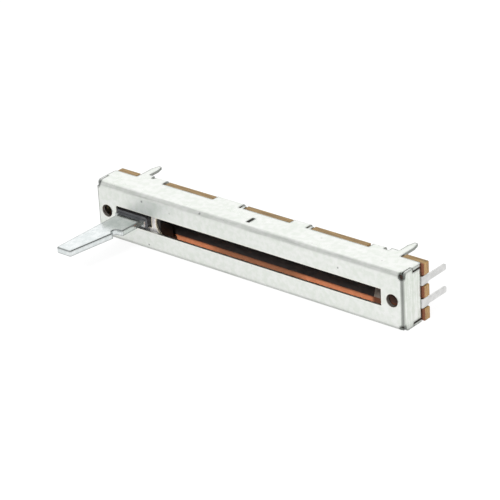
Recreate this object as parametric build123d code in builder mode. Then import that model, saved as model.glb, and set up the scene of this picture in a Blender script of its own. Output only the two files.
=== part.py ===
"""Slide potentiometer: folded metal case, phenolic board with printed tracks, and a sliding lever.

Axes: X along the travel, Y from the front mounting face towards the board, Z across the width.
The front face lies at Y = 0 and the origin is midway between the two front holes.
The lever is built at the left end of its travel.
"""

import os

from build123d import *

os.makedirs("parts", exist_ok=True)

# Case, all in millimetres
case_length = 60.0
case_width = 9.5
sheet = 0.4
long_fold_radius = 0.85
end_fold_radius = 0.5
end_wall_depth = 4.35
wall_depth = 6.3
wall_corner_radius = 0.55

# Slot and tapped holes in the front, placed from the ends of the case
slot_end_margin = 4.0
slot_height = 2.75
slot_corner_radius = 0.12
hole_inset = 2.0
hole_radius = 1.05
burr_radius = 1.35
burr_depth = 0.35

# Corners, where an end wall meets the side walls
relief_radius = 0.55
relief_inset_x = 0.25
relief_inset_z = 0.45
relief_depth = 0.6
ear_length = 1.85
ear_radius = 0.5
ear_gap = 0.12
seam_gap = 0.3

# Mounting legs, placed from the ends of the case; the outer wall zones end at them
left_leg_inset = 5.17
right_leg_inset = 4.5
leg_width = 1.35
leg_depth = 9.65
leg_taper_length = 1.35
leg_tip_width = 0.6
leg_tip_radius = 0.2
leg_bend_radius = 1.5

# Zones where the side walls carry on to the rear; the middle ones are placed from the middle
left_outer_length = 5.35
right_outer_length = 5.82
left_middle_start = -9.8
left_middle_end = -3.7
right_middle_start = 5.4
right_middle_end = 9.4
stub_width = 0.5
stub_depth = 5.6
middle_slit = 0.35
middle_slit_floor = 4.7
left_slit = 0.5
right_slit = 0.95
outer_slit_floor = 5.5
left_tab_width = 2.45
right_tab_width = 2.2
tab_reach = 1.5
tab_bend_radius = 0.45

# Narrow opening in the upper side wall
opening_centre = -0.08
opening_width = 0.55
opening_front = 1.4
opening_length = 1.6

# Board
film = 0.05
strip = 0.3
terminal_play = 0.05
board_thickness = 1.2
board_left_inset = 0.25
board_right_overhang = 0.4
board_side_gap = 0.05
board_outer_gap = 0.3
board_inner_gap = 0.5
board_middle_gap = 0.12
notch_width = 1.75
notch_depth = 0.7
tooth_radius = 0.15

# Tracks and pads printed on the front of the board
track_line = 1.85
track_width = 2.9
track_left_inset = 4.4
track_right_inset = 8.6
track_slant = 0.7
pad_inset = 1.2

# Terminals
pin_width = 1.0
pin_shoulder = 1.5
pin_end = 10.45
pin_tip_radius = 0.3
strip_setback = 0.2
terminal_pad_length = 3.0
terminal_bend_radius = 0.35
shoulder_depth = 6.0
shoulder_slope = 0.4

# Rivets
rivet_inset = 1.9
rivet_radius = 0.55
rivet_bore = 0.35
rivet_flange_radius = 0.85
rivet_flange = 0.2
rivet_play = 0.02

# Sliding parts
collar_length = 6.5
collar_height = 1.9
collar_play = 0.05
collar_wall = 0.25
collar_front = -0.1
collar_corner_radius = 0.5
carriage_length = 9.8
carriage_side_play = 0.1
carriage_front = 1.1
carriage_rear = 3.9
ski_width = 0.65
ski_play = 0.05
peg_radius = 0.45
peg_head_radius = 0.7
peg_head = 0.18

# Lever, with its edges placed from the middle of the collar
lever_thickness = 1.0
lever_root_end = 2.6
lever_shoulder = -0.63
lever_far_edge = 2.35
lever_base_edge = 2.4
lever_base_end = -5.0
lever_neck_edge = 1.7
lever_notch_radius = 0.7
lever_tip_edge = 0.5
lever_blade_length = 8.45
lever_lip_radius = 0.2
lever_tip_radius = 0.35
lever_edge = 0.1
lever_play = 0.02

# Spring plate under the front
plate_thickness = 0.3
plate_half_length = 6.7
plate_side_gap = 0.45
plate_cut_radius = 2.1
plate_cut_start = 4.25
plate_flat_half = 5.0
plate_touch_gap = 0.02
plate_play = 0.05

# Wiper behind the carriage
wiper_thickness = 0.15
wiper_plate_length = 3.0
wiper_plate_offset = 2.2
wiper_margin = 0.5
wiper_play = 0.05
finger_width = 0.42
finger_pitch = 0.62
finger_count = 3
finger_reach = 3.6
finger_lift = 0.02
finger_tip = 0.35

# Reach of the cutting shapes past the faces that they cut, where there is room and where there is not
cut_past = 1.0
close_by = 0.01

# Values that follow from the ones above
half_length = case_length / 2
half_width = case_width / 2
inner_half_length = half_length - sheet
inner_half_width = half_width - sheet
slot_length = case_length - 2 * slot_end_margin
hole_x = half_length - hole_inset
ear_end = relief_depth + ear_length
left_leg = -half_length + left_leg_inset
right_leg = half_length - right_leg_inset
board_front = end_wall_depth + terminal_play + strip + film
board_rear = board_front + board_thickness
board_left = -half_length + board_left_inset
board_right = half_length + board_right_overhang
tab_rear = board_rear + sheet
film_front = board_front - film
terminal_front = film_front - strip
track_start = -half_length + track_left_inset
track_end = half_length - track_right_inset
strip_left = board_left + strip_setback
strip_right = board_right - strip_setback
rivet_left = strip_left + rivet_inset
rivet_right = strip_right - rivet_inset
travel = slot_length - collar_length - 2 * collar_play
carriage_centre = -travel / 2
carriage_half_width = inner_half_width - carriage_side_play
ski_rear = board_front - ski_play
plate_half_width = inner_half_width - plate_side_gap
wiper_half_width = carriage_half_width - ski_width - wiper_play
peg_z = wiper_half_width - wiper_margin - peg_radius
lever_root_width = collar_length - 2 * (collar_wall + lever_play)

# Places of the rivets: collector and track at the right end, track at the left end
terminal_places = [(rivet_right, track_line), (rivet_right, -track_line), (rivet_left, -track_line)]

# Wall zones from left to right, then the tab, slit and stub cut from each
zones = [
    (left_leg - leg_width / 2, left_leg - leg_width / 2 + left_outer_length),
    (left_middle_start, left_middle_end),
    (right_middle_start, right_middle_end),
    (right_leg + leg_width / 2 - right_outer_length, right_leg + leg_width / 2),
]
tabs = [
    (zones[0][1] - left_tab_width, zones[0][1]),
    (zones[1][0], zones[1][1] - stub_width - middle_slit),
    (zones[2][0], zones[2][1] - stub_width - middle_slit),
    (zones[3][0], zones[3][0] + right_tab_width),
]
outer_slits = [(tabs[0][0] - left_slit, tabs[0][0]), (tabs[3][1], tabs[3][1] + right_slit)]
middle_slits = [(tabs[1][1], tabs[1][1] + middle_slit), (tabs[2][1], tabs[2][1] + middle_slit)]
stubs = [(middle_slits[0][1], zones[1][1]), (middle_slits[1][1], zones[2][1])]

# Gaps that the board leaves to the left and to the right of each zone
zone_gaps = [
    (board_outer_gap, board_inner_gap),
    (board_middle_gap, board_middle_gap),
    (board_middle_gap, board_middle_gap),
    (board_inner_gap, board_outer_gap),
]


def face_at(depth):
    """Sketch plane parallel to the front face; a negative extrusion goes to the rear."""
    return Plane.XZ.offset(-depth)


def span(start, end, low, high, mode=Mode.ADD):
    """Rectangle between two pairs of limits in the current sketch."""
    with Locations(((start + end) / 2, (low + high) / 2)):
        Rectangle(end - start, high - low, mode=mode)


def corner_waste(corner_x, corner_y, radius):
    """Square less a disc, to round off a corner; the signs of x and y say which corner."""
    turn_x = 1 if corner_x > 0 else -1
    turn_y = 1 if corner_y > 0 else -1
    shift = (radius - cut_past) / 2
    with Locations((corner_x - turn_x * shift, corner_y - turn_y * shift)):
        Rectangle(radius + cut_past, radius + cut_past)
    with Locations((corner_x - turn_x * radius, corner_y - turn_y * radius)):
        Circle(radius, mode=Mode.SUBTRACT)


# Case: one sheet folded into an open box, with everything cut and bent from it
with BuildPart() as case:
    with BuildSketch(Plane.YZ.offset(-half_length)) as outer_section:
        span(0, wall_depth, -half_width, half_width)
        fillet(outer_section.vertices().group_by(Axis.X)[0], long_fold_radius)
    extrude(amount=case_length)
    with BuildSketch(Plane.XY.offset(-half_width)) as outer_plan:
        span(-half_length, half_length, 0, wall_depth)
        fillet(outer_plan.vertices().group_by(Axis.Y)[0], end_fold_radius)
    extrude(amount=case_width, mode=Mode.INTERSECT)
    with BuildSketch(Plane.YZ.offset(-inner_half_length)) as inner_section:
        span(sheet, wall_depth + cut_past, -inner_half_width, inner_half_width)
        fillet(inner_section.vertices().group_by(Axis.X)[0], long_fold_radius - sheet)
    extrude(amount=2 * inner_half_length, mode=Mode.SUBTRACT)

    # end walls stop short of the board
    for end in (-1, 1):
        with BuildSketch(face_at(end_wall_depth)):
            with Locations((end * half_length, 0)):
                Rectangle(2 * (sheet + cut_past), 2 * inner_half_width)
        extrude(amount=-wall_depth, mode=Mode.SUBTRACT)

    # two tapped holes with burrs drawn inwards, and the slot
    with BuildSketch(face_at(sheet)):
        with Locations((-hole_x, 0), (hole_x, 0)):
            Circle(burr_radius)
    extrude(amount=-burr_depth)
    with BuildSketch(face_at(-cut_past)):
        with Locations((-hole_x, 0), (hole_x, 0)):
            Circle(hole_radius)
        RectangleRounded(slot_length, slot_height, slot_corner_radius)
    extrude(amount=-(cut_past + sheet + burr_depth), mode=Mode.SUBTRACT)

    # windows between the wall zones, then the slits, stubs and tabs of each zone
    wall_across = half_width + cut_past
    with BuildSketch(face_at(board_front)):
        span(-half_length - cut_past, zones[0][0], -wall_across, wall_across)
        for left, right in zip(zones, zones[1:]):
            span(left[1], right[0], -wall_across, wall_across)
        span(zones[-1][1], half_length + cut_past, -wall_across, wall_across)
    extrude(amount=-wall_depth, mode=Mode.SUBTRACT)
    with BuildSketch(face_at(middle_slit_floor)):
        for start, end in middle_slits:
            span(start, end, -wall_across, wall_across)
    extrude(amount=-wall_depth, mode=Mode.SUBTRACT)
    with BuildSketch(face_at(outer_slit_floor)):
        for start, end in outer_slits:
            span(start, end, -wall_across, wall_across)
    extrude(amount=-wall_depth, mode=Mode.SUBTRACT)
    with BuildSketch(face_at(stub_depth)):
        for start, end in stubs:
            span(start, end, -wall_across, wall_across)
    extrude(amount=-wall_depth, mode=Mode.SUBTRACT)
    with BuildSketch(face_at(board_rear)):
        for start, end in tabs:
            span(start, end, -wall_across, wall_across)
    extrude(amount=-wall_depth, mode=Mode.SUBTRACT)
    for start, end in tabs:
        for side in (-1, 1):
            with BuildSketch(Plane.YZ.offset(start)) as tab_section:
                wall_middle = side * (half_width - sheet / 2)
                span(stub_depth, tab_rear, wall_middle - sheet / 2, wall_middle + sheet / 2)
                with Locations(((board_rear + tab_rear) / 2, side * (half_width - tab_reach / 2))):
                    Rectangle(sheet, tab_reach)
                bend = tab_section.vertices().group_by(Axis.X)[-1].sort_by(Axis.Y)
                fillet(bend[-1] if side > 0 else bend[0], tab_bend_radius)
            extrude(amount=end - start)

    # rounded rear corners of the side walls
    for end in (-1, 1):
        with BuildSketch(Plane.XY.offset(-half_width - cut_past)):
            corner_waste(end * half_length, board_front, wall_corner_radius)
        extrude(amount=case_width + 2 * cut_past, mode=Mode.SUBTRACT)

    # mounting legs carry straight on from the walls
    for leg_centre in (left_leg, right_leg):
        for low in (-half_width, inner_half_width):
            with BuildSketch(Plane.XY.offset(low)) as leg:
                with BuildLine():
                    Polyline(
                        (leg_centre - leg_width / 2, wall_depth - cut_past),
                        (leg_centre - leg_width / 2, leg_depth - leg_taper_length),
                        (leg_centre - leg_tip_width / 2, leg_depth),
                        (leg_centre + leg_tip_width / 2, leg_depth),
                        (leg_centre + leg_width / 2, leg_depth - leg_taper_length),
                        (leg_centre + leg_width / 2, wall_depth - cut_past),
                        close=True,
                    )
                make_face()
                leg_corners = leg.vertices().group_by(Axis.Y)
                fillet(leg_corners[-1], leg_tip_radius)
                fillet(leg_corners[-2], leg_bend_radius)
            extrude(amount=sheet)

    # corners: a relief in the front, a rounded ear on the end wall, and the seam behind it
    for end in (-1, 1):
        for side in (-1, 1):
            with BuildSketch(face_at(-cut_past)):
                with Locations((end * (half_length - relief_inset_x), side * (half_width - relief_inset_z))):
                    Circle(relief_radius)
                with Locations((end * half_length, side * half_width)):
                    Rectangle(2 * (relief_inset_x + relief_radius), 2 * relief_inset_z)
            extrude(amount=-(cut_past + relief_depth), mode=Mode.SUBTRACT)
            with BuildSketch(Plane.YZ.offset(end * (half_length - sheet / 2))):
                seam_middle = side * (inner_half_width - seam_gap / 2)
                span(ear_end, end_wall_depth + cut_past, seam_middle - seam_gap / 2, seam_middle + seam_gap / 2)
                span(ear_end, ear_end + ear_gap, side * half_width - sheet, side * half_width + sheet)
                with Locations((relief_depth, side * half_width)):
                    Rectangle(2 * ear_radius, 2 * ear_radius)
                with Locations((relief_depth + ear_radius, side * (half_width - ear_radius))):
                    Circle(ear_radius, mode=Mode.SUBTRACT)
            extrude(amount=sheet / 2, both=True, mode=Mode.SUBTRACT)
            with BuildSketch(Plane.XY.offset(side * (half_width - sheet / 2))):
                with Locations((end * (inner_half_length - ear_gap / 2), (ear_end + ear_gap) / 2)):
                    Rectangle(ear_gap, ear_end + ear_gap)
            extrude(amount=sheet / 2 + close_by, both=True, mode=Mode.SUBTRACT)

    # narrow opening in the upper wall
    with BuildSketch(Plane.XY.offset(inner_half_width - close_by)):
        with Locations((opening_centre, opening_front + opening_length / 2)):
            Rectangle(opening_width, opening_length)
    extrude(amount=sheet + 2 * close_by, mode=Mode.SUBTRACT)
case.part.label = "case"
export_step(case.part, "parts/case.step")

# Board: its ears fill the windows and rest on their edges, and teeth stand out at its ends
with BuildPart() as base_board:
    with BuildSketch(face_at(board_front)) as board_outline:
        board_side = half_width - board_side_gap
        span(board_left, board_right, -board_side, board_side)
        for (start, end), (left_gap, right_gap) in zip(zones, zone_gaps):
            for side in (-1, 1):
                with Locations(((start - left_gap + end + right_gap) / 2, side * half_width)):
                    Rectangle(
                        end - start + left_gap + right_gap,
                        2 * (sheet + board_side_gap),
                        mode=Mode.SUBTRACT,
                    )
        for place_x, place_z in terminal_places:
            with Locations((board_right if place_x > 0 else board_left, place_z)):
                Rectangle(2 * notch_depth, notch_width, mode=Mode.SUBTRACT)
        end_corners = board_outline.vertices().group_by(Axis.X)
        fillet(end_corners[0] + end_corners[-1], tooth_radius)
    extrude(amount=-board_thickness)
    with BuildSketch(face_at(board_front)):
        with Locations(*terminal_places):
            Circle(rivet_radius + rivet_play)
    extrude(amount=-board_thickness, mode=Mode.SUBTRACT)
base_board.part.label = "base_board"
export_step(base_board.part, "parts/base_board.step")


def printed_band(line, start, end, start_slant, end_slant, holes):
    """Thin printed film on the board, with slanted ends and clear of the rivets."""
    low = line - track_width / 2
    high = line + track_width / 2
    with BuildPart() as band:
        with BuildSketch(face_at(film_front)):
            with BuildLine():
                Polyline(
                    (start - start_slant / 2, low),
                    (end - end_slant / 2, low),
                    (end + end_slant / 2, high),
                    (start + start_slant / 2, high),
                    close=True,
                )
            make_face()
            if holes:
                with Locations(*holes):
                    Circle(rivet_radius + rivet_play, mode=Mode.SUBTRACT)
        extrude(amount=-film)
    return band


resistive_track = printed_band(-track_line, track_start, track_end, 0, track_slant, [])
resistive_track.part.label = "resistive_track"
export_step(resistive_track.part, "parts/resistive_track.step")

collector_track = printed_band(track_line, track_start, track_end, 0, track_slant, [])
collector_track.part.label = "collector_track"
export_step(collector_track.part, "parts/collector_track.step")

left_pad = printed_band(-track_line, board_left + pad_inset, track_start, 0, 0, terminal_places[2:])
left_pad.part.label = "left_pad"
export_step(left_pad.part, "parts/left_pad.step")

pad_end = board_right - pad_inset
right_pad = printed_band(-track_line, track_end, pad_end, track_slant, 0, terminal_places[1:2])
right_pad.part.label = "right_pad"
export_step(right_pad.part, "parts/right_pad.step")

collector_pad = printed_band(track_line, track_end, pad_end, track_slant, 0, terminal_places[:1])
collector_pad.part.label = "collector_pad"
export_step(collector_pad.part, "parts/collector_pad.step")


def bent_terminal(end, line):
    """Strip on the pad, bent through the notch in the board and run out to the rear as a pin."""
    outer = strip_right if end > 0 else strip_left
    inner = outer - end * terminal_pad_length
    back = outer - end * strip
    slope_start = shoulder_depth - shoulder_slope / 2
    slope_end = shoulder_depth + shoulder_slope / 2
    with BuildPart() as terminal:
        with BuildSketch(Plane.XY.offset(line - pin_shoulder / 2)) as side_view:
            with BuildLine():
                Polyline(
                    (inner, terminal_front),
                    (outer, terminal_front),
                    (outer, pin_end),
                    (back, pin_end),
                    (back, film_front),
                    (inner, film_front),
                    close=True,
                )
            make_face()
            outside = side_view.vertices().group_by(Axis.Y)[0].sort_by(Axis.X)
            fillet(outside[-1] if end > 0 else outside[0], terminal_bend_radius)
        extrude(amount=pin_shoulder)
        with BuildSketch(Plane.YZ) as end_view:
            with BuildLine():
                Polyline(
                    (terminal_front - cut_past, line - pin_shoulder / 2),
                    (slope_start, line - pin_shoulder / 2),
                    (slope_end, line - pin_width / 2),
                    (pin_end, line - pin_width / 2),
                    (pin_end, line + pin_width / 2),
                    (slope_end, line + pin_width / 2),
                    (slope_start, line + pin_shoulder / 2),
                    (terminal_front - cut_past, line + pin_shoulder / 2),
                    close=True,
                )
            make_face()
            fillet(end_view.vertices().group_by(Axis.X)[-1], pin_tip_radius)
        extrude(amount=case_length, both=True, mode=Mode.INTERSECT)
        with BuildSketch(face_at(terminal_front - cut_past)):
            with Locations((outer - end * rivet_inset, line)):
                Circle(rivet_radius + rivet_play)
        extrude(amount=-(strip + 2 * cut_past), mode=Mode.SUBTRACT)
    return terminal


left_terminal = bent_terminal(-1, -track_line)
left_terminal.part.label = "left_terminal"
export_step(left_terminal.part, "parts/left_terminal.step")

track_terminal = bent_terminal(1, -track_line)
track_terminal.part.label = "track_terminal"
export_step(track_terminal.part, "parts/track_terminal.step")

collector_terminal = bent_terminal(1, track_line)
collector_terminal.part.label = "collector_terminal"
export_step(collector_terminal.part, "parts/collector_terminal.step")

# Rivets: three hollow rivets, flanged on the terminal and rolled over behind the board
with BuildPart() as rivets:
    for place in terminal_places:
        with BuildSketch(face_at(terminal_front)):
            with Locations(place):
                Circle(rivet_radius)
        extrude(amount=-(board_rear - terminal_front))
        with BuildSketch(face_at(terminal_front), face_at(board_rear + rivet_flange)):
            with Locations(place):
                Circle(rivet_flange_radius)
        extrude(amount=rivet_flange)
        with BuildSketch(face_at(terminal_front - rivet_flange)):
            with Locations(place):
                Circle(rivet_bore)
        extrude(amount=-(board_rear - terminal_front + 2 * rivet_flange), mode=Mode.SUBTRACT)
rivets.part.label = "rivets"
export_step(rivets.part, "parts/rivets.step")

# Carriage: moulded block with two skis behind it and a collar standing in the slot
peg_x = carriage_centre + wiper_plate_offset
peg_places = [(peg_x, peg_z), (peg_x, -peg_z)]
with BuildPart() as carriage:
    with BuildSketch(face_at(carriage_front)):
        with Locations((carriage_centre, 0)):
            Rectangle(carriage_length, 2 * carriage_half_width)
    extrude(amount=-(carriage_rear - carriage_front))
    with BuildSketch(face_at(carriage_rear)):
        ski_middle = carriage_half_width - ski_width / 2
        with Locations((carriage_centre, ski_middle), (carriage_centre, -ski_middle)):
            Rectangle(carriage_length, ski_width)
    extrude(amount=-(ski_rear - carriage_rear))
    with BuildSketch(face_at(collar_front)):
        with Locations((carriage_centre, 0)):
            RectangleRounded(collar_length, collar_height, collar_corner_radius)
    extrude(amount=-(carriage_front - collar_front))
    with BuildSketch(face_at(collar_front - cut_past)):
        with Locations((carriage_centre, 0)):
            Rectangle(lever_root_width + 2 * lever_play, lever_thickness + 2 * lever_play)
    extrude(amount=-(lever_root_end - collar_front + cut_past), mode=Mode.SUBTRACT)
    with BuildSketch(face_at(carriage_rear)):
        with Locations(*peg_places):
            Circle(peg_radius)
    extrude(amount=-wiper_thickness)
    with BuildSketch(face_at(carriage_rear + wiper_thickness)):
        with Locations(*peg_places):
            Circle(peg_head_radius)
    extrude(amount=-peg_head)
carriage.part.label = "carriage"
export_step(carriage.part, "parts/carriage.step")

# Lever: flat blank with a broad root, shoulders, one round notch and a blade tapered on one side
root_left = carriage_centre - lever_root_width / 2
root_right = carriage_centre + lever_root_width / 2
far_edge = carriage_centre - lever_far_edge
base_edge = carriage_centre + lever_base_edge
neck_edge = carriage_centre + lever_neck_edge
tip_edge = carriage_centre + lever_tip_edge
blade_start = lever_base_end - 2 * lever_notch_radius
lever_end = blade_start - lever_blade_length
with BuildPart() as lever:
    with BuildSketch(Plane.XY.offset(-lever_thickness / 2)) as lever_outline:
        with BuildLine():
            Polyline(
                (neck_edge, lever_base_end),
                (base_edge, lever_base_end),
                (base_edge, lever_shoulder),
                (root_right, lever_shoulder),
                (root_right, lever_root_end),
                (root_left, lever_root_end),
                (root_left, lever_shoulder),
                (far_edge, lever_shoulder),
                (far_edge, lever_end),
                (tip_edge, lever_end),
                (neck_edge, blade_start),
            )
            ThreePointArc(
                (neck_edge, blade_start),
                (neck_edge - lever_notch_radius, lever_base_end - lever_notch_radius),
                (neck_edge, lever_base_end),
            )
        make_face()
        fillet(lever_outline.vertices().group_by(Axis.Y)[0], lever_tip_radius)
        lip = lever_outline.vertices().filter_by_position(
            Axis.Y, lever_base_end - close_by, lever_base_end + close_by
        )
        fillet(lip.sort_by(Axis.X)[-1], lever_lip_radius)
    extrude(amount=lever_thickness)
    rim = lever.faces().filter_by(Axis.Z).edges()
    chamfer(rim.filter_by(lambda edge: edge.center().Y < lever_shoulder), lever_edge)
lever.part.label = "lever"
export_step(lever.part, "parts/lever.step")

# Spring plate: lies on the carriage around the collar and bears on the front with four arms
plate_tip_front = sheet + plate_touch_gap
cut_centre = plate_cut_start + plate_cut_radius
with BuildPart() as spring_plate:
    with BuildSketch(Plane.XY.offset(-plate_half_width)):
        with BuildLine():
            Polyline(
                (carriage_centre - plate_half_length, plate_tip_front),
                (carriage_centre - plate_flat_half, carriage_front - plate_thickness),
                (carriage_centre + plate_flat_half, carriage_front - plate_thickness),
                (carriage_centre + plate_half_length, plate_tip_front),
                (carriage_centre + plate_half_length, plate_tip_front + plate_thickness),
                (carriage_centre + plate_flat_half, carriage_front),
                (carriage_centre - plate_flat_half, carriage_front),
                (carriage_centre - plate_half_length, plate_tip_front + plate_thickness),
                close=True,
            )
        make_face()
    extrude(amount=2 * plate_half_width)
    with BuildSketch(face_at(0)):
        with Locations((carriage_centre - cut_centre, 0), (carriage_centre + cut_centre, 0)):
            Circle(plate_cut_radius)
        with Locations((carriage_centre, 0)):
            Rectangle(collar_length + 2 * plate_play, collar_height + 2 * plate_play)
    extrude(amount=-2 * carriage_front, mode=Mode.SUBTRACT)
spring_plate.part.label = "spring_plate"
export_step(spring_plate.part, "parts/spring_plate.step")

# Wiper: plate on the two pegs, with a comb of fingers reaching back to each track
plate_start = peg_x - wiper_plate_length / 2
plate_end = peg_x + wiper_plate_length / 2
finger_rear = film_front - finger_lift
finger_x = plate_start - finger_reach
with BuildPart() as wiper:
    with BuildSketch(face_at(carriage_rear)):
        span(plate_start, plate_end, -wiper_half_width, wiper_half_width)
        with Locations(*peg_places):
            Circle(peg_radius + lever_play, mode=Mode.SUBTRACT)
    extrude(amount=-wiper_thickness)
    for line in (-track_line, track_line):
        for number in range(finger_count):
            middle = line + (number - (finger_count - 1) / 2) * finger_pitch
            with BuildSketch(Plane.XY.offset(middle - finger_width / 2)):
                with BuildLine():
                    Polyline(
                        (plate_start, carriage_rear),
                        (finger_x, finger_rear - wiper_thickness),
                        (finger_x - finger_tip, finger_rear - wiper_thickness - finger_tip),
                        (finger_x - finger_tip - wiper_thickness, finger_rear - finger_tip),
                        (finger_x, finger_rear),
                        (plate_start, carriage_rear + wiper_thickness),
                        close=True,
                    )
                make_face()
            extrude(amount=finger_width)
wiper.part.label = "wiper"
export_step(wiper.part, "parts/wiper.step")
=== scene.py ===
import math

import bmesh
import bpy
from mathutils import Matrix, Vector


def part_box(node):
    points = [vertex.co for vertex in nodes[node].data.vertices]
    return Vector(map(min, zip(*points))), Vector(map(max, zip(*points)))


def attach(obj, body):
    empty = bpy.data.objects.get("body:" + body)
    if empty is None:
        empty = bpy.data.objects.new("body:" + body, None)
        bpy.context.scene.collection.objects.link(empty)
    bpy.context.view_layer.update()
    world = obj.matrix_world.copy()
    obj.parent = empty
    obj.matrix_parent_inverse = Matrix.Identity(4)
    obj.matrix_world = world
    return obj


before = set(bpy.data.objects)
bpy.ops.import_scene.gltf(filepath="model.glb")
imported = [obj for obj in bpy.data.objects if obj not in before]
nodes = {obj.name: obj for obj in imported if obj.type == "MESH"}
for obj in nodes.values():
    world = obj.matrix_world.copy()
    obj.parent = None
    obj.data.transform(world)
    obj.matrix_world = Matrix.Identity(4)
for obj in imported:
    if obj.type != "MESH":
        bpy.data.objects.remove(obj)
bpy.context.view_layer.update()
scene = bpy.context.scene
MM = 0.001


# Places on the part that the materials and the threads follow

hole_x = 28 * MM
hole_radius = 1.05 * MM
hole_mask_half = 1.25 * MM
case_cut_shade_from = 4.7 * MM
lever_cut_shade_from = -1.8 * MM
lever_glint_from = -0.64 * MM
lip_depth = 0.3 * MM
lip_half_height = 3 * MM
lip_half_length = 29.2 * MM
outline_width = 0.6 * MM
edge_radius = 0.04 * MM
bevel_samples = 6


# Node helpers; a value may be a socket, a number or a colour

def new_material(name):
    """A material with a Principled shader, its node tree and the shader."""
    mat = bpy.data.materials.new(name)
    mat.use_nodes = True
    tree = mat.node_tree
    tree.nodes.clear()
    out = tree.nodes.new("ShaderNodeOutputMaterial")
    shader = tree.nodes.new("ShaderNodeBsdfPrincipled")
    tree.links.new(shader.outputs["BSDF"], out.inputs["Surface"])
    return mat, tree, shader


def feed(tree, value, socket):
    """Gives a socket its value."""
    if isinstance(value, tuple):
        socket.default_value = (*value, 1)
    elif isinstance(value, (int, float)):
        socket.default_value = value
    else:
        tree.links.new(value, socket)


def grey(level):
    return (level, level, level)


def object_coords(tree, scale=(1, 1, 1)):
    """Object coordinates, stretched, for a texture."""
    coord = tree.nodes.new("ShaderNodeTexCoord")
    mapping = tree.nodes.new("ShaderNodeMapping")
    mapping.inputs["Scale"].default_value = scale
    tree.links.new(coord.outputs["Object"], mapping.inputs["Vector"])
    return mapping.outputs["Vector"]


def noise(tree, scale, detail, rough, stretch=(1, 1, 1)):
    node = tree.nodes.new("ShaderNodeTexNoise")
    node.inputs["Scale"].default_value = scale
    node.inputs["Detail"].default_value = detail
    node.inputs["Roughness"].default_value = rough
    tree.links.new(object_coords(tree, stretch), node.inputs["Vector"])
    return node.outputs["Fac"]


def ramp(tree, value, low, high):
    """Colour ramp between two stops, each a place and a colour."""
    node = tree.nodes.new("ShaderNodeValToRGB")
    for element, (place, colour) in zip(node.color_ramp.elements, (low, high)):
        element.position = place
        element.color = (*colour, 1)
    tree.links.new(value, node.inputs["Fac"])
    return node.outputs["Color"]


def mix(tree, factor, first, second):
    """Mixes two colours."""
    node = tree.nodes.new("ShaderNodeMix")
    node.data_type = "RGBA"
    feed(tree, factor, node.inputs[0])
    feed(tree, first, node.inputs[6])
    feed(tree, second, node.inputs[7])
    return node.outputs[2]


def math_node(tree, operation, first, second=0.0):
    """One step of arithmetic."""
    node = tree.nodes.new("ShaderNodeMath")
    node.operation = operation
    feed(tree, first, node.inputs[0])
    feed(tree, second, node.inputs[1])
    return node.outputs[0]


def absolute(tree, value):
    return math_node(tree, "ABSOLUTE", value)


def times(tree, first, *others):
    product = first
    for other in others:
        product = math_node(tree, "MULTIPLY", product, other)
    return product


def above(tree, value, limit):
    return math_node(tree, "GREATER_THAN", value, limit)


def below(tree, value, limit):
    return math_node(tree, "LESS_THAN", value, limit)


def map_range(tree, value, low, high, start=0.0, end=1.0):
    """Smooth step of a value between two limits."""
    node = tree.nodes.new("ShaderNodeMapRange")
    node.interpolation_type = "SMOOTHSTEP"
    for name, number in (("From Min", low), ("From Max", high), ("To Min", start), ("To Max", end)):
        node.inputs[name].default_value = number
    tree.links.new(value, node.inputs["Value"])
    return node.outputs["Result"]


def vector_node(tree, operation, first, second=None):
    """One step of vector arithmetic that gives a number."""
    node = tree.nodes.new("ShaderNodeVectorMath")
    node.operation = operation
    tree.links.new(first, node.inputs[0])
    if isinstance(second, (tuple, Vector)):
        node.inputs[1].default_value = second
    elif second is not None:
        tree.links.new(second, node.inputs[1])
    return node.outputs["Value"]


def parts_of(tree, vector):
    """The three components of a vector."""
    split = tree.nodes.new("ShaderNodeSeparateXYZ")
    tree.links.new(vector, split.inputs["Vector"])
    return split.outputs["X"], split.outputs["Y"], split.outputs["Z"]


def place_of(tree):
    """The part's own x, y and z."""
    return parts_of(tree, object_coords(tree))


def surface_normal(tree):
    return tree.nodes.new("ShaderNodeNewGeometry").outputs["Normal"]


def facing(tree):
    """The three components of the surface's normal."""
    return parts_of(tree, surface_normal(tree))


def bevelled(tree, radius):
    """Normal of a surface whose edges are rounded by the shader."""
    node = tree.nodes.new("ShaderNodeBevel")
    node.samples = bevel_samples
    node.inputs["Radius"].default_value = radius
    return node.outputs["Normal"]


def rim(tree, radius):
    """Mask of the narrow strips beside sharp edges."""
    turn = vector_node(tree, "DOT_PRODUCT", bevelled(tree, radius), surface_normal(tree))
    return map_range(tree, turn, 0.992, 0.86)


def spot(tree, centre, radius):
    """Mask of a small round mark at a place in the part's own coordinates."""
    reach = vector_node(tree, "DISTANCE", object_coords(tree), centre)
    return ramp(tree, math_node(tree, "DIVIDE", reach, radius), (0.35, grey(1.0)), (1.0, grey(0.0)))


def bump(tree, shader, height, strength, distance, edge=0.0):
    """Fine relief, over edges that are rounded by the shader where a radius is given."""
    node = tree.nodes.new("ShaderNodeBump")
    node.inputs["Strength"].default_value = strength
    node.inputs["Distance"].default_value = distance
    tree.links.new(height, node.inputs["Height"])
    if edge:
        tree.links.new(bevelled(tree, edge), node.inputs["Normal"])
    tree.links.new(node.outputs["Normal"], shader.inputs["Normal"])


# Layers of the metals: each is laid over a colour and a roughness, and gives both back

def specks(amount):
    """Sparse dark grains."""
    def layer(tree, colour, rough):
        dots = tree.nodes.new("ShaderNodeTexVoronoi")
        dots.inputs["Scale"].default_value = 330.0
        tree.links.new(object_coords(tree), dots.inputs["Vector"])
        mask = ramp(tree, dots.outputs["Distance"], (0.03, grey(1.0)), (0.07, grey(0.0)))
        return mix(tree, times(tree, mask, amount), colour, (0.30, 0.30, 0.28)), rough
    return layer


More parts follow.
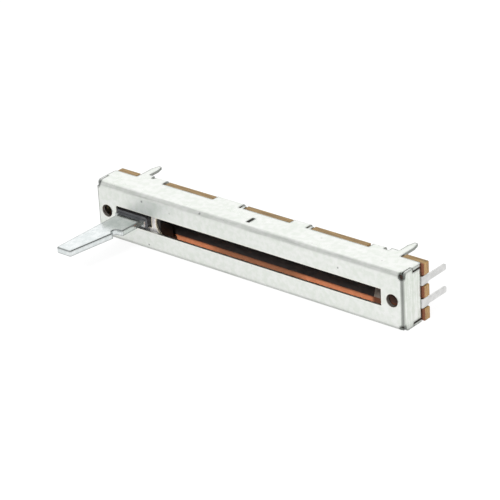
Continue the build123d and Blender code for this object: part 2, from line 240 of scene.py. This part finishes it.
def marks(places):
    """Round marks, each with a centre, a radius and a tone."""
    def layer(tree, colour, rough):
        for centre, radius, tone in places:
            colour = mix(tree, spot(tree, centre, radius), colour, tone)
        return colour, rough
    return layer


def tone_side_faces(start, tone, gloss):
    """Faces across the length that lie behind a place, in a tone and a gloss of their own: bare cut
    metal with painted shade, and on the lever's shoulder a painted highlight.
    """
    def layer(tree, colour, rough):
        across = above(tree, absolute(tree, facing(tree)[0]), 0.6)
        mask = times(tree, across, above(tree, place_of(tree)[1], start))
        return mix(tree, mask, colour, tone), mix(tree, mask, rough, grey(gloss))
    return layer


def painted_fold_and_wall_shade(tree, colour, rough):
    """Duller front, painted shade on the folds at the ends and in streaks along the long folds, and
    painted reflection in darker streaks down the end walls.
    """
    x, y, z = facing(tree)
    rough = mix(tree, below(tree, y, -0.98), rough, grey(0.42))
    down = noise(tree, 3200.0, 3.0, 0.6, (1, 1, 0.06))
    along = noise(tree, 2400.0, 3.0, 0.6, (0.05, 1, 1))
    # Painted shade: the folds at the ends are darkened unevenly.
    end_fold = map_range(tree, absolute(tree, times(tree, x, y)), 0.02, 0.22)
    end_fold_shade = times(tree, end_fold, map_range(tree, down, 0.25, 0.75, 0.7, 1.0))
    colour = mix(tree, end_fold_shade, colour, (0.38, 0.40, 0.37))
    # Painted shade: streaks along the long folds are darkened.
    long_fold = map_range(tree, absolute(tree, times(tree, y, z)), 0.05, 0.3)
    long_fold_shade = times(tree, long_fold, map_range(tree, along, 0.45, 0.7, 0.0, 0.4))
    colour = mix(tree, long_fold_shade, colour, (0.45, 0.47, 0.44))
    # Painted reflection: darker streaks down the end walls.
    end_wall = map_range(tree, absolute(tree, x), 0.9, 0.98)
    end_wall_reflection_streaks = times(tree, end_wall, map_range(tree, down, 0.42, 0.62, 0.35, 0.0))
    return mix(tree, end_wall_reflection_streaks, colour, (0.50, 0.56, 0.46)), rough


def painted_chamfer_shade(tree, colour, rough):
    """Painted shade on the slanting edges between the flat faces and the sides."""
    z = facing(tree)[2]
    turned = math_node(tree, "SUBTRACT", 1.0, times(tree, z, z))
    # Painted shade: the slanting edges are darkened.
    chamfer_shade = map_range(tree, times(tree, absolute(tree, z), turned), 0.15, 0.3, 0.0, 0.8)
    return mix(tree, chamfer_shade, colour, (0.30, 0.32, 0.32)), rough


def painted_side_shade(high, tone):
    """Painted shade: faces all round, between the front and the rear one, are darkened."""
    def layer(tree, colour, rough):
        side_shade = map_range(tree, absolute(tree, facing(tree)[1]), 0.3, high, 1.0, 0.0)
        return mix(tree, side_shade, colour, tone), rough
    return layer


def shaded_bores(tree, colour, rough):
    """Walls of the two tapped holes, behind the front face, with painted shade and a rougher gloss."""
    for centre in (-hole_x, hole_x):
        x, y, z = place_of(tree)
        near = below(tree, absolute(tree, math_node(tree, "SUBTRACT", x, centre)), hole_mask_half)
        level = below(tree, absolute(tree, z), hole_mask_half)
        inside_shade = times(tree, near, level, map_range(tree, y, 0.02 * MM, 0.08 * MM))
        # Painted shade inside the holes.
        colour = mix(tree, inside_shade, colour, (0.10, 0.085, 0.075))
        rough = mix(tree, inside_shade, rough, grey(0.5))
    return colour, rough


def painted_edge_line(amount, tone, lip_highlight_tone=None):
    """A painted line beside the sharp edges, painted shade where its tone is dark and painted
    highlight where it is light, with its own tone around the openings of the front if given.
    """
    def layer(tree, colour, rough):
        line = times(tree, rim(tree, outline_width), amount)
        painted_line_tone = tone
        if lip_highlight_tone:
            x, y, z = place_of(tree)
            front = below(tree, y, lip_depth)
            level = below(tree, absolute(tree, z), lip_half_height)
            inner = below(tree, absolute(tree, x), lip_half_length)
            painted_line_tone = mix(tree, times(tree, front, level, inner), tone, lip_highlight_tone)
        return mix(tree, line, colour, painted_line_tone), mix(tree, line, rough, grey(0.6))
    return layer


# Materials

def metal(name, light, dark, gloss, grain_scale, stretch=(1, 1, 1), layers=(), metallic=1.0):
    """Plated sheet: cloudy tone, fine rolling grain, an uneven gloss, and then its layers."""
    mat, tree, shader = new_material(name)
    cloud = noise(tree, 180.0, 3.0, 0.6)
    fine = noise(tree, grain_scale, 5.0, 0.6, stretch)
    mottle = noise(tree, 1100.0, 2.0, 0.5)
    colour = ramp(tree, cloud, (0.35, dark), (0.62, light))
    colour = mix(tree, 0.35, colour, ramp(tree, fine, (0.3, dark), (0.7, light)))
    colour = mix(tree, 0.58, colour, ramp(tree, mottle, (0.4, dark), (0.6, light)))
    rough = ramp(tree, fine, (0.3, grey(gloss[0])), (0.7, grey(gloss[1])))
    for layer in layers:
        colour, rough = layer(tree, colour, rough)
    tree.links.new(colour, shader.inputs["Base Color"])
    shader.inputs["Metallic"].default_value = metallic
    tree.links.new(rough, shader.inputs["Roughness"])
    bump(tree, shader, fine, 0.25, 0.02 * MM, edge_radius)
    return mat


speck_tone = (0.34, 0.35, 0.34)
corner_tone = (0.17, 0.18, 0.17)
# Painted shade: the tone of the dark lines beside the sharp edges.
painted_line_tone = (0.20, 0.21, 0.20)
front_marks = [
    ((-20.45 * MM, 0, 3.5 * MM), 0.24 * MM, speck_tone),
    ((-19.49 * MM, 0, -3.68 * MM), 0.2 * MM, speck_tone),
    ((18.15 * MM, 0, 2.65 * MM), 0.2 * MM, speck_tone),
    ((-8.64 * MM, 0.1 * MM, 4.5 * MM), 0.3 * MM, speck_tone),
]
for corner_x in (-29.7 * MM, 29.7 * MM):
    for corner_z in (-4.3 * MM, 4.3 * MM):
        front_marks.append(((corner_x, 0.3 * MM, corner_z), 0.72 * MM, corner_tone))

case_metal = metal(
    "case_tin_plate", (0.90, 0.91, 0.885), (0.78, 0.82, 0.76), (0.26, 0.36), 900.0, (0.15, 1, 1),
    (
        specks(0.35),
        marks(front_marks),
        # Bare cut metal with painted shade on the sides of the legs and slits.
        tone_side_faces(case_cut_shade_from, (0.52, 0.53, 0.51), 0.6),
        painted_fold_and_wall_shade,
        shaded_bores,
        # Painted shade in dark lines beside the edges, and a painted highlight along the lips of the
        # openings.
        painted_edge_line(0.7, painted_line_tone, lip_highlight_tone=(0.98, 0.96, 0.90)),
    ),
)
lever_metal = metal(
    "lever_plating", (0.86, 0.89, 0.89), (0.70, 0.75, 0.75), (0.13, 0.2), 1500.0, (1, 0.12, 1),
    (
        # Bare cut metal with painted shade on the sides of the lever's base near the collar.
        tone_side_faces(lever_cut_shade_from, (0.30, 0.31, 0.29), 0.6),
        painted_chamfer_shade,
        # Painted shade in dark lines beside the lever's edges.
        painted_edge_line(0.75, painted_line_tone),
        # Painted highlight: the side faces behind the shoulder are painted near white, as a glint
        # beside the collar.
        tone_side_faces(lever_glint_from, (1.0, 1.0, 0.98), 0.3),
    ),
)
spring_metal = metal(
    "spring_steel", (0.90, 0.88, 0.88), (0.80, 0.78, 0.77), (0.4, 0.5), 1500.0, (0.15, 1, 1),
    # Painted shade on the plate's sides, and a painted cream highlight beside its edges.
    (painted_side_shade(0.7, (0.05, 0.045, 0.04)), painted_edge_line(1.0, (1.0, 0.90, 0.70))),
    metallic=0.6,
)
thread_metal = metal("thread_steel", (0.34, 0.31, 0.28), (0.2, 0.17, 0.15), (0.35, 0.5), 1500.0)
pin_metal = metal(
    "pin_tinning", (0.76, 0.76, 0.75), (0.64, 0.64, 0.63), (0.3, 0.45), 1500.0, (1, 0.15, 1))
rivet_metal = metal("rivet_plating", (0.80, 0.74, 0.60), (0.66, 0.58, 0.42), (0.25, 0.4), 1200.0)
contact_metal = metal(
    "contact_bronze", (0.80, 0.66, 0.42), (0.68, 0.52, 0.30), (0.2, 0.32), 1500.0, (0.15, 1, 1))


def laminate():
    """Phenolic board: layered edges, orange printed face with painted reflection darkening its middle
    and painted shade below the film and beyond the slot, plain brown rear.
    """
    mat, tree, shader = new_material("phenolic_board")
    layers = noise(tree, 900.0, 3.0, 0.5, (0.4, 9, 0.4))
    paper = noise(tree, 1200.0, 5.0, 0.6)
    cloud = noise(tree, 260.0, 3.0, 0.6, (0.3, 1, 1))
    x, _, z = place_of(tree)
    normal_x, normal_y, _ = facing(tree)
    long_edge = ramp(tree, layers, (0.35, (0.115, 0.066, 0.018)), (0.65, (0.32, 0.20, 0.07)))
    end_edge = ramp(tree, layers, (0.3, (0.30, 0.17, 0.06)), (0.7, (0.56, 0.34, 0.13)))
    edge = mix(tree, absolute(tree, normal_x), long_edge, end_edge)
    face = ramp(tree, paper, (0.3, (0.76, 0.26, 0.12)), (0.7, (0.90, 0.34, 0.17)))
    # Painted reflection: the middle of the face is darkened.
    from_middle = absolute(tree, math_node(tree, "ADD", x, 1.5 * MM))
    middle_reflection_shade = map_range(tree, from_middle, 6.5 * MM, 10.5 * MM, 0.6, 0.0)
    face = mix(tree, middle_reflection_shade, face, (0.16, 0.085, 0.05))
    # Painted shade just below the film's lower edge.
    film_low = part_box("resistive_track")[0][2]
    film_edge_shade = map_range(tree, z, film_low - 0.4 * MM, film_low, 0.0, 0.8)
    face = mix(tree, film_edge_shade, face, (0.16, 0.06, 0.03))
    # Painted shade: the face beyond the slot's end, behind the front, is darkened.
    shade_beyond_slot = map_range(tree, x, 20.4 * MM, 21.2 * MM)
    face = mix(tree, shade_beyond_slot, face, (0.20, 0.075, 0.04))
    rear = ramp(tree, paper, (0.3, (0.30, 0.14, 0.06)), (0.7, (0.42, 0.21, 0.095)))
    rear = mix(tree, map_range(tree, cloud, 0.35, 0.7, 0.0, 0.5), rear, (0.24, 0.11, 0.045))
    face = mix(tree, map_range(tree, normal_y, 0.2, 0.6), face, rear)
    colour = mix(tree, absolute(tree, normal_y), edge, face)
    tree.links.new(colour, shader.inputs["Base Color"])
    shader.inputs["Roughness"].default_value = 0.5
    bump(tree, shader, paper, 0.2, 0.02 * MM)
    return mat


def carbon():
    """Printed carbon film: near black, fine screen texture."""
    mat, tree, shader = new_material("carbon_film")
    fine = noise(tree, 1500.0, 4.0, 0.6, (0.3, 1, 1))
    colour = ramp(tree, fine, (0.3, (0.024, 0.019, 0.018)), (0.7, (0.056, 0.046, 0.044)))
    tree.links.new(colour, shader.inputs["Base Color"])
    shader.inputs["Roughness"].default_value = 0.38
    bump(tree, shader, fine, 0.2, 0.01 * MM)
    return mat


def silver_print():
    """Dull silver print, darkened by painted shade beyond the slot's end."""
    mat, tree, shader = new_material("silver_print")
    fine = noise(tree, 1400.0, 4.0, 0.6)
    colour = ramp(tree, fine, (0.3, (0.34, 0.29, 0.25)), (0.7, (0.52, 0.45, 0.40)))
    # Painted shade beyond the slot's end.
    shade_beyond_slot = map_range(tree, place_of(tree)[0], 22.1 * MM, 22.6 * MM)
    colour = mix(tree, shade_beyond_slot, colour, (0.16, 0.09, 0.07))
    tree.links.new(colour, shader.inputs["Base Color"])
    shader.inputs["Metallic"].default_value = 0.3
    shader.inputs["Roughness"].default_value = 0.5
    bump(tree, shader, fine, 0.3, 0.02 * MM)
    return mat


def moulding():
    """Dark grey moulded plastic with a fine spark-eroded grain, with painted shade inside and on its
    sides.
    """
    mat, tree, shader = new_material("dark_moulding")
    fine = noise(tree, 2600.0, 3.0, 0.6)
    cloud = noise(tree, 500.0, 3.0, 0.5)
    colour = ramp(tree, cloud, (0.35, (0.045, 0.045, 0.05)), (0.65, (0.075, 0.075, 0.08)))
    # Painted shade: darker deeper inside the case.
    inside_shade = map_range(tree, place_of(tree)[1], 0.5 * MM, 0.9 * MM)
    colour = mix(tree, inside_shade, colour, (0.016, 0.014, 0.013))
    # Painted shade on the faces all round.
    side_shade = map_range(tree, absolute(tree, facing(tree)[1]), 0.3, 0.8, 1.0, 0.0)
    colour = mix(tree, side_shade, colour, (0.014, 0.013, 0.013))
    tree.links.new(colour, shader.inputs["Base Color"])
    shader.inputs["Roughness"].default_value = 0.45
    bump(tree, shader, fine, 0.35, 0.03 * MM)
    return mat


finishes = (
    (case_metal, ("case",)),
    (laminate(), ("base_board",)),
    (carbon(), ("resistive_track", "collector_track")),
    (silver_print(), ("left_pad", "right_pad", "collector_pad")),
    (pin_metal, ("left_terminal", "track_terminal", "collector_terminal")),
    (rivet_metal, ("rivets",)),
    (moulding(), ("carriage",)),
    (lever_metal, ("lever",)),
    (spring_metal, ("spring_plate",)),
    (contact_metal, ("wiper",)),
)
for mat, names in finishes:
    for name in names:
        obj = nodes[name]
        if not obj.material_slots:
            obj.data.materials.append(mat)
        for item in obj.material_slots:
            item.link = "OBJECT"
            item.material = mat


# Pieces of the scene

def add_object(name, data):
    obj = bpy.data.objects.new(name, data)
    scene.collection.objects.link(obj)
    return obj


def thread(name, centre_x):
    """Helical ridge on the wall of a tapped hole."""
    depth = 0.72 * MM
    pitch = 0.3 * MM
    ridge = 0.1 * MM
    start = 0.04 * MM
    steps = 40
    foot = 0.405 * pitch
    crest = 0.072 * pitch
    profile = (
        (hole_radius, -foot),
        (hole_radius - ridge, -crest),
        (hole_radius - ridge, crest),
        (hole_radius, foot),
    )
    count = int((depth - 2 * start) / pitch * steps)
    mesh = bmesh.new()
    rings = []
    for step in range(count + 1):
        angle = 2 * math.pi * step / steps
        y = start + pitch * step / steps
        rings.append([
            mesh.verts.new((centre_x + r * math.cos(angle), y + dy, r * math.sin(angle)))
            for r, dy in profile
        ])
    for before, after in zip(rings, rings[1:]):
        for k in range(len(profile) - 1):
            mesh.faces.new((before[k], before[k + 1], after[k + 1], after[k]))
    bmesh.ops.recalc_face_normals(mesh, faces=mesh.faces)
    data = bpy.data.meshes.new(name)
    mesh.to_mesh(data)
    mesh.free()
    data.materials.append(thread_metal)
    for polygon in data.polygons:
        polygon.use_smooth = True
    obj = add_object(name, data)
    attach(obj, "housing")


thread("thread_left", -hole_x)
thread("thread_right", hole_x)


# Floor: plain and pale, with a white that only the camera sees and a painted reflection glow that only
# the metal's reflections see

floor_size = 6.0
floor_level = -4.76 * MM
half_length = 30 * MM
half_depth = 2.9 * MM
smallest_square = 0.0000001

half = floor_size / 2
floor_corners = [
    (x, y, floor_level)
    for x, y in ((-half, -half), (half, -half), (half, half), (-half, half))
]
floor_data = bpy.data.meshes.new("floor")
floor_data.from_pydata(floor_corners, [], [(0, 1, 2, 3)])
floor = add_object("floor", floor_data)
floor_mat, floor_tree, floor_shader = new_material("pale_floor")
floor_shader.inputs["Base Color"].default_value = (*grey(0.93), 1)
floor_shader.inputs["Roughness"].default_value = 0.9
floor_shader.inputs["Specular IOR Level"].default_value = 0.1
floor_path = floor_tree.nodes.new("ShaderNodeLightPath")


def floor_glow(before, ray, strength, amount):
    """Lays a glow over the floor's shading, for one kind of ray."""
    glow = floor_tree.nodes.new("ShaderNodeEmission")
    glow.inputs["Color"].default_value = (*grey(1), 1)
    feed(floor_tree, strength, glow.inputs["Strength"])
    blend = floor_tree.nodes.new("ShaderNodeMixShader")
    floor_tree.links.new(times(floor_tree, floor_path.outputs[ray], amount), blend.inputs["Fac"])
    floor_tree.links.new(before, blend.inputs[1])
    floor_tree.links.new(glow.outputs["Emission"], blend.inputs[2])
    return blend.outputs["Shader"]


def floor_reflection_glow(tree):
    """Painted reflection: the glow that the metal sees in the floor, darker near the part, at its foot
    and off its right corner.
    """
    x, y = place_of(tree)[:2]
    length = vector_node(tree, "LENGTH", object_coords(tree))
    reflection_glow = math_node(
        tree, "ADD",
        map_range(tree, x, -70 * MM, 20 * MM, 0.88, 0.98),
        map_range(tree, length, 50 * MM, 120 * MM, 0.0, 0.05))
    beyond = math_node(tree, "MAXIMUM", math_node(tree, "SUBTRACT", x, half_length), 0.0)
    ahead = math_node(tree, "MAXIMUM", times(tree, y, -1.0), 0.0)
    ahead_square = math_node(tree, "ADD", times(tree, ahead, ahead), smallest_square)
    squares = math_node(tree, "ADD", times(tree, beyond, beyond), ahead_square)
    corner = math_node(tree, "DIVIDE", times(tree, beyond, ahead, 2.0), squares)
    reflection_glow = math_node(tree, "SUBTRACT", reflection_glow, map_range(tree, corner, 0.1, 0.9, 0.0, 0.55))
    off_x = math_node(tree, "SUBTRACT", absolute(tree, x), half_length)
    off_middle = absolute(tree, math_node(tree, "SUBTRACT", y, half_depth))
    off_y = math_node(tree, "SUBTRACT", off_middle, half_depth)
    off = math_node(tree, "MAXIMUM", off_x, off_y)
    return times(tree, reflection_glow, map_range(tree, off, 0.0, 1.4 * MM, 0.6, 1.0))


# Painted reflection: the floor glows for the metal's reflections.
shade = floor_glow(floor_shader.outputs["BSDF"], "Is Glossy Ray", floor_reflection_glow(floor_tree), 0.85)
shade = floor_glow(shade, "Is Camera Ray", 1.05, 0.85)
floor_out = [node for node in floor_tree.nodes if node.type == "OUTPUT_MATERIAL"][0]
floor_tree.links.new(shade, floor_out.inputs["Surface"])
floor_data.materials.append(floor_mat)


# World: a soft studio with a brighter and a darker patch, white to the camera

world = bpy.data.worlds.new("studio")
scene.world = world
world.use_nodes = True
world_tree = world.node_tree
world_tree.nodes.clear()


def background(strength):
    node = world_tree.nodes.new("ShaderNodeBackground")
    node.inputs["Color"].default_value = (*grey(1), 1)
    feed(world_tree, strength, node.inputs["Strength"])
    return node.outputs["Background"]


def lobe(direction, wide, narrow, amount):
    """Soft patch of the studio, brighter or darker than the rest, towards a direction."""
    coord = world_tree.nodes.new("ShaderNodeTexCoord")
    turn = vector_node(
        world_tree, "DOT_PRODUCT", coord.outputs["Generated"], Vector(direction).normalized())
    return map_range(world_tree, turn, wide, narrow, 0.0, amount)


level = math_node(world_tree, "ADD", lobe((-0.59, 0.68, 0.44), 0.62, 0.95, 0.40), 0.70)
level = math_node(world_tree, "ADD", level, lobe((0.44, 0.68, 0.59), 0.72, 0.97, -0.45))
world_path = world_tree.nodes.new("ShaderNodeLightPath")
world_mix = world_tree.nodes.new("ShaderNodeMixShader")
world_out = world_tree.nodes.new("ShaderNodeOutputWorld")
world_tree.links.new(world_path.outputs["Is Camera Ray"], world_mix.inputs["Fac"])
world_tree.links.new(background(level), world_mix.inputs[1])
world_tree.links.new(background(1.0), world_mix.inputs[2])
world_tree.links.new(world_mix.outputs["Shader"], world_out.inputs["Surface"])


# Lamps: they light the plastic, the board and the floor, and stay out of the metal's reflections

def area_light(name, place, size, power):
    """Rectangular lamp that looks at the middle of the front face."""
    data = bpy.data.lights.new(name, "AREA")
    data.shape = "RECTANGLE"
    data.size, data.size_y = size
    data.energy = power
    lamp = add_object(name, data)
    lamp.location = place
    lamp.rotation_euler = (-Vector(place)).to_track_quat("-Z", "Y").to_euler()
    lamp.visible_glossy = False


area_light("top_softbox", (0.05, 0.05, 0.55), (0.5, 0.4), 0.9)
area_light("front_key", (0.10, -0.47, 0.42), (0.12, 0.12), 2.9)


# Camera, fitted to the photograph's edges

azimuth = math.radians(40.88)
elevation = math.radians(26.03)
roll = math.radians(-3.31)
camera_place = Vector((232.55, -267.14, 173.56)) * MM
focal_pixels = 2599.7
photo_pixels = 500.0
sensor_width = 36.0

back = Vector((
    math.sin(azimuth) * math.cos(elevation),
    -math.cos(azimuth) * math.cos(elevation),
    math.sin(elevation),
))
level_right = (-back).cross(Vector((0, 0, 1))).normalized()
level_up = level_right.cross(-back)
camera_right = math.cos(roll) * level_right + math.sin(roll) * level_up
camera_up = -math.sin(roll) * level_right + math.cos(roll) * level_up
camera_data = bpy.data.cameras.new("camera")
camera_data.sensor_width = sensor_width
camera_data.sensor_fit = "HORIZONTAL"
camera_data.lens = focal_pixels * sensor_width / photo_pixels
camera_data.clip_start = 0.01
camera_data.clip_end = 20.0
camera = add_object("camera", camera_data)
camera.matrix_world = Matrix((
    (camera_right.x, camera_up.x, back.x, camera_place.x),
    (camera_right.y, camera_up.y, back.y, camera_place.y),
    (camera_right.z, camera_up.z, back.z, camera_place.z),
    (0, 0, 0, 1),
))
scene.camera = camera
scene.view_settings.view_transform = "Standard"
